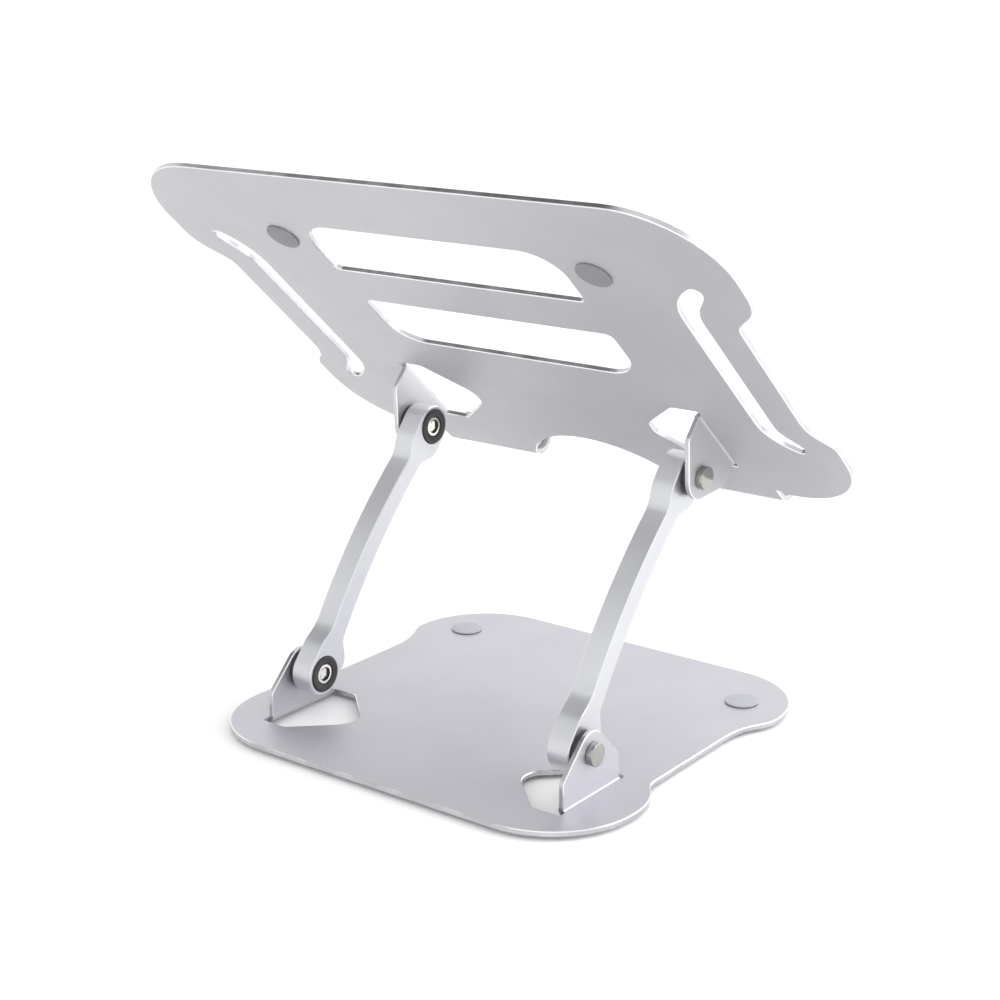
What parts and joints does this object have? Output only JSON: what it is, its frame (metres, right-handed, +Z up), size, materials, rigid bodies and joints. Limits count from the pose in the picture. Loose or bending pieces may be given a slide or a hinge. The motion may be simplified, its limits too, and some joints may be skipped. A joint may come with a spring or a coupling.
{
  "type": "laptop stand",
  "caption": "Folding laptop stand of bent aluminium sheet: base plate, bowed arms on friction pivots, and a tilting slotted platform with front hooks.",
  "frame": {"origin": "on the desk, under the middle of the base plate", "axes": "+Z up, +X to the user's right, -Y towards the user, +Y to the rear"},
  "size_m": [0.286, 0.2, 0.2488],
  "materials": {
    "anodised_sheet": "fine blasted and anodised, polished chamfers",
    "anodised_arm": "fine blasted and anodised",
    "nickel": "polished nickel",
    "spring_steel": "plain",
    "black_nylon": "matt black",
    "bushing_plastic": "plain",
    "grey_rubber": "matt grey"
  },
  "bodies": {
    "base": {"base_plate": "anodised_sheet", "pivot_pin_lower_left": "nickel", "friction_washer_lower_left": "black_nylon", "cup_washer_lower_left": "black_nylon", "disc_spring_lower_left": "spring_steel", "socket_screw_lower_left": "nickel", "base_pad_left": "grey_rubber", "desk_foot_front_left": "grey_rubber", "desk_foot_rear_left": "grey_rubber", "pivot_pin_lower_right": "nickel", "friction_washer_lower_right": "black_nylon", "cup_washer_lower_right": "black_nylon", "disc_spring_lower_right": "spring_steel", "socket_screw_lower_right": "nickel", "base_pad_right": "grey_rubber", "desk_foot_front_right": "grey_rubber", "desk_foot_rear_right": "grey_rubber"},
    "arm_left": {"arm_left": "anodised_arm", "bushing_lower_left": "bushing_plastic", "bushing_upper_left": "bushing_plastic"},
    "arm_right": {"arm_right": "anodised_arm", "bushing_lower_right": "bushing_plastic", "bushing_upper_right": "bushing_plastic"},
    "platform": {"platform_plate": "anodised_sheet", "pivot_pin_upper_left": "nickel", "friction_washer_upper_left": "black_nylon", "cup_washer_upper_left": "black_nylon", "disc_spring_upper_left": "spring_steel", "socket_screw_upper_left": "nickel", "platform_pad_left": "grey_rubber", "grip_strip_rear_left": "grey_rubber", "grip_strip_front_left": "grey_rubber", "hook_liner_left": "grey_rubber", "pivot_pin_upper_right": "nickel", "friction_washer_upper_right": "black_nylon", "cup_washer_upper_right": "black_nylon", "disc_spring_upper_right": "spring_steel", "socket_screw_upper_right": "nickel", "platform_pad_right": "grey_rubber", "grip_strip_rear_right": "grey_rubber", "grip_strip_front_right": "grey_rubber", "hook_liner_right": "grey_rubber"}
  },
  "joints": [
    {"name": "arm_left_hinge", "type": "hinge", "parent": "base", "child": "arm_left", "pos_m": [-0.0696, 0.0552, 0.0224], "axis": [1, 0, 0], "range_deg": [-30, 28]},
    {"name": "arm_right_hinge", "type": "hinge", "parent": "base", "child": "arm_right", "pos_m": [0.0696, 0.0552, 0.0224], "axis": [1, 0, 0], "range_deg": [-30, 28]},
    {"name": "platform_tilt", "type": "hinge", "parent": "arm_left", "child": "platform", "pos_m": [-0.0696, -0.02367, 0.12015], "axis": [1, 0, 0], "range_deg": [-75, 50]}
  ],
  "couplings": [
    {"joint": "arm_right_hinge", "follows": "arm_left_hinge", "ratio": 1}
  ]
}
